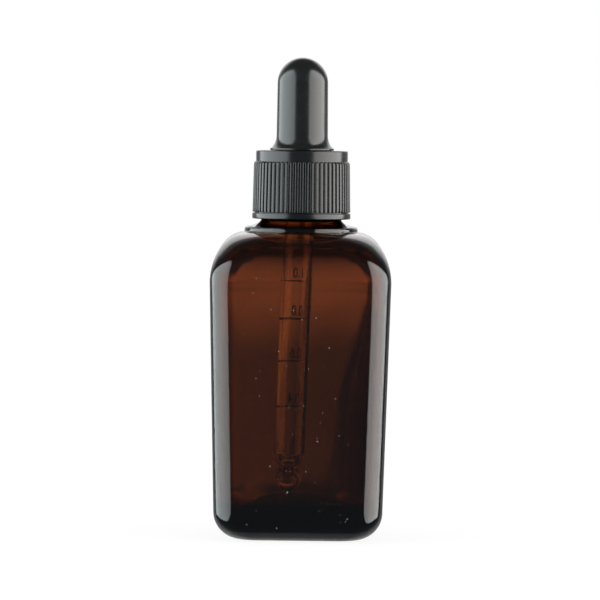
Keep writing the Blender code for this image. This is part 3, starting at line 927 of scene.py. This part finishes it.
def markNumber(text, height):
    # a flat number is cut out of the built-in font and wrapped round the tube
    marks = scaleMarks
    curve = bpy.data.curves.new("markNumber", "FONT")
    curve.body = text
    curve.size = marks["numberHeight"] / marks["fontHeight"]
    curve.align_x = "CENTER"
    curve.extrude = marks["thickness"] / 2
    curve.offset = marks["numberWeight"]
    lettering = bpy.data.objects.new("markNumber", curve)
    bpy.context.scene.collection.objects.link(lettering)
    bpy.context.view_layer.update()
    mesh = bpy.data.meshes.new_from_object(lettering.evaluated_get(bpy.context.evaluated_depsgraph_get()))
    bpy.data.objects.remove(lettering, do_unlink=True)
    middle = math.radians(marks["numberTurn"]) * pipetteShape["radius"]
    base = height + marks["numberGap"]
    for vertex in mesh.vertices:
        x, y, z = vertex.co
        vertex.co = wrapped(x * marks["numberWidth"] + middle, base + y, z + marks["thickness"] / 2)
    return mesh


def joinedMesh(name, meshes):
    points, faces = [], []
    for mesh in meshes:
        start = len(points)
        points += [tuple(vertex.co) for vertex in mesh.vertices]
        faces += [tuple(start + i for i in face.vertices) for face in mesh.polygons]
        bpy.data.meshes.remove(mesh)
    joined = bpy.data.meshes.new(name)
    joined.from_pydata(points, [], faces)
    joined.validate()
    return joined


def makeScale():
    meshes = []
    columns = [scaleMarks[key] for key in ("heights", "lineThickness", "lineFrom", "lineTo", "numbers")]
    for *line, text in zip(*columns):
        meshes.append(markLine(*line))
        meshes.append(markNumber(text, line[0]))
    mesh = joinedMesh("pipette_scale", meshes)
    mesh.transform(tiltedPlace())
    return addPiece("pipette_scale", mesh, scaleInk, "dropper")


makePipette()
makeScale()
print("pipette and scale ready")


# Specks of dust on the glass

dustLook = {
    "seed": 5,
    "count": 115,
    "sides": (0, 0, 1, 2, 3),   # quarter turns from the front, which gets twice as many
    "heights": (3, 62),
    "lowness": 1.4,             # the higher, the more specks lie low down
    "across": (-13, 13),
    "sizes": (0.03, 0.095),
    "smallness": 2,             # and the more are small
    "stretch": (1.0, 3.4),
    "layers": ((0.0, 0.8), (0.3, 1.0), (0.55, 0.6)),    # height and width as shares of a speck's size
    "topHeight": 0.65,
    "corners": 8,
    "shoulderFall": 1.45,       # above the widest height, times the shoulder's own arc
    "inset": 0.002,             # nothing gets nearer to the bottle's greatest width
}


def dustSpeck(across, height, size, stretch, turn):
    # a low flake on the front of the bottle
    look, shape = dustLook, bottleShape
    outermost = shape["bodyHalfWidth"] - look["inset"]
    radius = shape["shoulderRadius"]
    bend = max(0.0, height - shape["widestHeight"])
    halfWidth = outerHalfWidth(min(height, shape["widestHeight"]))
    halfWidth -= (radius - math.sqrt(radius**2 - bend**2)) * look["shoulderFall"]
    rings = []
    for lift, share in look["layers"]:
        ring = []
        for i in range(look["corners"]):
            angle = math.tau * i / look["corners"]
            u, v = size * stretch * share * math.cos(angle), size * share * math.sin(angle)
            x = across + u * math.cos(turn) - v * math.sin(turn)
            z = height + u * math.sin(turn) + v * math.cos(turn)
            ring.append((x, -min(halfWidth + size * lift, outermost), z))
        rings.append(ring)
    top = (across, -min(halfWidth + size * look["topHeight"], outermost), height)
    return gridMesh("speck", rings, (across, -halfWidth, height), top)


def makeDustSpecks():
    # on all four sides, from a fixed seed
    look = dustLook
    draw = random.Random(look["seed"])
    meshes = []
    for i in range(look["count"]):
        side = draw.choice(look["sides"])
        height = mixed(*look["heights"], draw.random() ** look["lowness"])
        size = mixed(*look["sizes"], draw.random() ** look["smallness"])
        stretch = draw.uniform(*look["stretch"])
        turn = draw.uniform(0, math.pi)
        across = draw.uniform(*look["across"])
        mesh = dustSpeck(across, height, size, stretch, turn)
        mesh.transform(Matrix.Rotation(side * math.pi / 2, 4, "Z"))
        meshes.append(mesh)
    mesh = joinedMesh("dust_specks", meshes)
    mesh.shade_smooth()
    return addPiece("dust_specks", mesh, paleDust, "bottle")


makeDustSpecks()
print("dust ready")


# Floor, light and camera

# The room is painted on the world. Directions are degrees: azimuths go from 0, the side where the camera
# stands, to 180 behind the bottle, and heights are counted from the horizon. A pair is where a soft change
# starts and ends. A triple is a window, from low to high, and how soft its edges are.

studioLight = {
    "boxes": {
        "left": (33, 131),
        "right": (29, 118),
        "heights": (-54, 70),
        "squareness": 1.7,              # 2 would make the boxes round
        "softEdge": 7,
        "taper": 0.0068,                # how much lower the boxes get for each degree further back
        "leastTall": 0.2,               # share of their full height
        "rise": (35, 80),               # they get brighter over these degrees
        "start": 0.7,
        "mirrored": (4.4, 5.3),         # left and right, seen in gloss
        "diffuse": 1.7,
        "tints": ((0.91, 1.0, 1.0), (1.0, 0.985, 0.96)),
    },
    "mirrored": {
        "front": (0.125, 0.15, 0.168),
        "side": 0.36,                   # beside and behind the boxes
        "sideAzimuths": (118, 138),
        "zenith": 0.08,
        "zenithHeights": (36, 54),
        "back": 1.0,
        "backAzimuths": (150, 165),
        "backHeights": (0, 30, 8),
        "rim": 1.5,                     # the light that shows on the shoulders' outline
        "rimAzimuths": (134, 150),
        "rimHeights": (9, 34, 8),
        "table": 0.5,                   # the floor far behind
        "tableAzimuths": (110, 150),
        "tableHeights": (-50, -8, 8),
    },
    "diffuse": {
        "room": 0.35,
        "zenith": 0.9,
        "zenithHeights": (50, 70),
        "back": 1.0,
        "backAzimuths": (150, 165),
        "backHeights": (0, 30, 8),
    },
    "through": {
        "band": 1.1,                    # a bright band behind the bottle
        "bandFoot": (-3.3, -2.05),      # that fades quickly downwards
        "bandTop": (-3.0, 2.5),         # and slowly upwards
        "below": 0.2,
        "above": 0.06,
        "darkFoot": (-5.14, -4.82),     # it gets dark near the bottle's floor
        "darkTilt": -14,                # and starts to higher up on the right
        "darkest": 0.33,
        "shade": 0.4,                   # low down the band is dimmer on the right
        "shadeAcross": (-0.01, 0.012),  # from left to right, as the X of the ray's direction
        "shadeHeights": (-4.9, -2.3),
        "straight": (2.2, 4.6),         # so far off straight back the band gets brighter
        "gain": 0.3,
        "leftLoss": (45, 70),           # and further off it gets dim
        "rightLoss": (5, 36),
        "loss": 0.85,
        "regain": (135, 160),           # but not towards the front
        "zenith": 0.08,
        "zenithHeights": (50, 70),
        "floor": 0.5,                   # the floor behind the bottle
        "floorAzimuths": (110, 140),
        "floorHeights": (-40, -17, 5),
        "floorGap": (0.001, 0.14, 0.012),       # X of the ray's direction; no floor there
        "edge": 0.3,                    # and left of the middle a dim strip over the floor
        "edgeAcross": (-0.03, -0.008, 0.01),
        "edgeHeights": (-24, -5, 0.6),
        "ahead": 0.6,                   # the floor in front, for views from behind
        "aheadAzimuths": (90, 120),
        "aheadHeights": (-60, -8, 5),
        "sides": 2.0,                   # for views from beside
        "sidesAzimuths": (52, 110, 10),
        "sidesHeights": (-30, 45, 8),
    },
}


def mathNode(tree, operation, first, second=None, third=None):
    node = addNode(tree, "ShaderNodeMath", operation=operation)
    for socket, value in zip(node.inputs, (first, second, third)):
        if value is None:
            continue
        if isinstance(value, (int, float)):
            socket.default_value = value
        else:
            tree.links.new(value, socket)
    return node.outputs["Value"]


def product(tree, *factors):
    result = factors[0]
    for factor in factors[1:]:
        result = mathNode(tree, "MULTIPLY", result, factor)
    return result


def opposite(tree, share):
    return mathNode(tree, "SUBTRACT", 1, share)


def levelNode(tree, share, low, high):
    # low where the share is 0, high where it is 1
    return mathNode(tree, "MULTIPLY_ADD", share, high - low, low)


def rampNode(tree, source, low, high):
    # 0 below low, 1 above high, smooth in between
    node = addNode(tree, "ShaderNodeMapRange", interpolation_type="SMOOTHSTEP")
    node.inputs["From Min"].default_value = low
    node.inputs["From Max"].default_value = high
    tree.links.new(source, node.inputs["Value"])
    return node.outputs["Result"]


def windowNode(tree, source, low, high, soft):
    rise = rampNode(tree, source, low - soft / 2, low + soft / 2)
    fall = rampNode(tree, source, high - soft / 2, high + soft / 2)
    return product(tree, rise, opposite(tree, fall))


def scaled(colour, level):
    return tuple(channel * level for channel in colour)


def layered(tree, colour, layers):
    # each layer is a mask with the grey level or the colour that shows there
    for mask, above in layers:
        if isinstance(above, float):
            above = (above, above, above)
        colour = blended(tree, mask, colour, above)
    return colour


def patchLayers(tree, away, elevation, look, names):
    # patches of even light, each beyond its azimuths and inside its heights
    layers = []
    for name in names:
        beyond = rampNode(tree, away, *look[name + "Azimuths"])
        between = windowNode(tree, elevation, *look[name + "Heights"])
        layers.append((product(tree, beyond, between), look[name]))
    return layers


def skyPlaces(tree):
    # of the direction that a ray goes in: its share to the right, its azimuth and its elevation
    direction = addNode(tree, "ShaderNodeTexCoord").outputs["Generated"]
    parts = addNode(tree, "ShaderNodeSeparateXYZ")
    tree.links.new(direction, parts.inputs[0])
    x, y, z = parts.outputs
    degrees = 180 / math.pi
    azimuth = product(tree, mathNode(tree, "ARCTAN2", x, product(tree, y, -1)), degrees)
    return x, azimuth, product(tree, mathNode(tree, "ARCSINE", z), degrees)


def boxMasks(tree, azimuth, away, elevation):
    # 1 inside the left and the right box, which have round corners and soft edges
    look = studioLight["boxes"]
    tall = mathNode(tree, "MULTIPLY_ADD", away, -look["taper"], 1 + look["taper"] * look["left"][0])
    upward = mathNode(tree, "DIVIDE", elevation, mathNode(tree, "MAXIMUM", tall, look["leastTall"]))
    masks = []
    for across, ends in ((product(tree, azimuth, -1), look["left"]), (azimuth, look["right"])):
        parts = []
        for source, (low, high) in ((across, ends), (upward, look["heights"])):
            offset = mathNode(tree, "MULTIPLY_ADD", source, 2 / (high - low), -(high + low) / (high - low))
            parts.append(mathNode(tree, "POWER", mathNode(tree, "ABSOLUTE", offset), look["squareness"]))
        reach = mathNode(tree, "POWER", mathNode(tree, "ADD", *parts), 1 / look["squareness"])
        soft = look["softEdge"] / (ends[1] - ends[0])
        masks.append(opposite(tree, rampNode(tree, reach, 1 - soft, 1 + soft)))
    return masks


def mirroredColour(tree, away, elevation, masks):
    look, boxes = studioLight["mirrored"], studioLight["boxes"]
    rise = rampNode(tree, away, *boxes["rise"])
    boxLayers = []
    for mask, tint, level in zip(masks, boxes["tints"], boxes["mirrored"]):
        dim = scaled(tint, level * boxes["start"])
        boxLayers.append((mask, blended(tree, rise, dim, scaled(tint, level))))
    return layered(tree, look["front"], [
        (rampNode(tree, away, *look["sideAzimuths"]), look["side"]),
        (rampNode(tree, elevation, *look["zenithHeights"]), look["zenith"]),
        *patchLayers(tree, away, elevation, look, ("back", "rim", "table")),
        *boxLayers,
    ])


def diffuseColour(tree, away, elevation, masks):
    look, boxes = studioLight["diffuse"], studioLight["boxes"]
    return layered(tree, (look["room"],) * 3, [
        (rampNode(tree, elevation, *look["zenithHeights"]), look["zenith"]),
        *patchLayers(tree, away, elevation, look, ("back",)),
        *((mask, scaled(tint, boxes["diffuse"])) for mask, tint in zip(masks, boxes["tints"])),
    ])


def throughColour(tree, x, azimuth, away, elevation):
    look = studioLight["through"]

    def ramp(source, name):
        return rampNode(tree, source, *look[name])

    def window(source, name):
        return windowNode(tree, source, *look[name])

    behind = mathNode(tree, "SUBTRACT", 180, away)
    onLeft = mathNode(tree, "LESS_THAN", azimuth, 0)
    leftLoss = product(tree, ramp(behind, "leftLoss"), onLeft)
    rightLoss = product(tree, ramp(behind, "rightLoss"), opposite(tree, onLeft))
    dimming = levelNode(tree, ramp(behind, "regain"), look["loss"], 0)
    loss = product(tree, mathNode(tree, "ADD", leftLoss, rightLoss), dimming)
    tilted = mathNode(tree, "MULTIPLY_ADD", x, look["darkTilt"], elevation)
    shade = product(tree, ramp(x, "shadeAcross"), opposite(tree, ramp(elevation, "shadeHeights")))
    band = product(
        tree,
        levelNode(tree, ramp(elevation, "bandFoot"), look["below"], 1),
        levelNode(tree, ramp(elevation, "bandTop"), 1, look["above"]),
        levelNode(tree, ramp(tilted, "darkFoot"), look["darkest"], 1),
        levelNode(tree, shade, 1, 1 - look["shade"]),
        levelNode(tree, ramp(behind, "straight"), 1, 1 + look["gain"]),
        opposite(tree, loss),
        look["band"],
    )
    onBack = ramp(away, "floorAzimuths")
    inFront = opposite(tree, ramp(away, "aheadAzimuths"))
    floorShows = opposite(tree, window(x, "floorGap"))
    return layered(tree, band, [
        (ramp(elevation, "zenithHeights"), look["zenith"]),
        (product(tree, onBack, window(elevation, "floorHeights"), floorShows), look["floor"]),
        (product(tree, onBack, window(elevation, "edgeHeights"), window(x, "edgeAcross")), look["edge"]),
        (product(tree, inFront, window(elevation, "aheadHeights")), look["ahead"]),
        (product(tree, window(away, "sidesAzimuths"), window(elevation, "sidesHeights")), look["sides"]),
    ])


def makeStudioLight():
    # what is mirrored, what lights matt surfaces and what shows through the glass are set apart
    world = bpy.data.worlds.new("studio")
    bpy.context.scene.world = world
    world.use_nodes = True
    tree = world.node_tree
    x, azimuth, elevation = skyPlaces(tree)
    away = mathNode(tree, "ABSOLUTE", azimuth)
    masks = boxMasks(tree, azimuth, away, elevation)
    colour = diffuseColour(tree, away, elevation, masks)
    rays = addNode(tree, "ShaderNodeLightPath").outputs
    for ray, seen in (
        ("Is Glossy Ray", mirroredColour(tree, away, elevation, masks)),
        ("Is Transmission Ray", throughColour(tree, x, azimuth, away, elevation)),
        ("Is Camera Ray", (1.0, 1.0, 1.0)),
    ):
        colour = blended(tree, rays[ray], colour, seen)
    tree.links.new(colour, tree.nodes["Background"].inputs["Color"])
    tree.nodes["Background"].inputs["Strength"].default_value = 1.0


floorLook = {
    "colour": (0.86, 0.86, 0.86),
    "roughness": 0.9,
    "glow": 1.1,
    "glowShare": 0.82,              # how much of the floor's own white the camera sees
    "halfSize": 3000.0,
    "drop": 0.02,                   # under the bottle's base, so that the two faces don't flicker
}


def makeFloor():
    half = floorLook["halfSize"] * mm
    mesh = bpy.data.meshes.new("floor")
    corners = [(-half, -half, 0), (half, -half, 0), (half, half, 0), (-half, half, 0)]
    mesh.from_pydata(corners, [], [(0, 1, 2, 3)])
    floor = bpy.data.objects.new("floor", mesh)
    bpy.context.scene.collection.objects.link(floor)
    floor.location.z = -floorLook["drop"] * mm
    material, tree, shader = newMaterial("paleFloor")
    mesh.materials.append(material)
    shader.inputs["Base Color"].default_value = (*floorLook["colour"], 1)
    shader.inputs["Roughness"].default_value = floorLook["roughness"]
    glow = addNode(tree, "ShaderNodeEmission", Strength=floorLook["glow"])
    rays = addNode(tree, "ShaderNodeLightPath").outputs
    blend = addNode(tree, "ShaderNodeMixShader")
    tree.links.new(product(tree, rays["Is Camera Ray"], floorLook["glowShare"]), blend.inputs["Fac"])
    tree.links.new(shader.outputs["BSDF"], blend.inputs[1])
    tree.links.new(glow.outputs["Emission"], blend.inputs[2])
    tree.links.new(blend.outputs["Shader"], tree.nodes["Material Output"].inputs["Surface"])
    floor.visible_glossy = False
    floor.visible_transmission = False


cameraPlace = {
    "distance": 1000.0,             # in front of the bottle's axis
    "height": 98.5,
    "aimHeight": 55.0,
    "sensor": 36,
    "lens": 257.3,
    "shift": (-0.0005, 0.001),
    "clip": (50, 50000),
    "roll": 0.682,                  # degrees; the bottle leans to the right in the frame
}


def makeCamera():
    place = cameraPlace
    data = bpy.data.cameras.new("camera")
    data.sensor_width = place["sensor"]
    data.lens = place["lens"]
    data.shift_x, data.shift_y = place["shift"]
    data.dof.use_dof = False
    data.clip_start, data.clip_end = (end * mm for end in place["clip"])
    camera = bpy.data.objects.new("camera", data)
    bpy.context.scene.collection.objects.link(camera)
    drop = math.atan((place["height"] - place["aimHeight"]) / place["distance"])
    aim = Matrix.Rotation(math.pi / 2 - drop, 4, "X") @ Matrix.Rotation(math.radians(place["roll"]), 4, "Z")
    camera.matrix_world = Matrix.Translation((0, -place["distance"] * mm, place["height"] * mm)) @ aim
    bpy.context.scene.camera = camera


makeStudioLight()
makeFloor()
makeCamera()
bpy.context.scene.view_settings.view_transform = "Standard"
print("floor, light and camera ready")
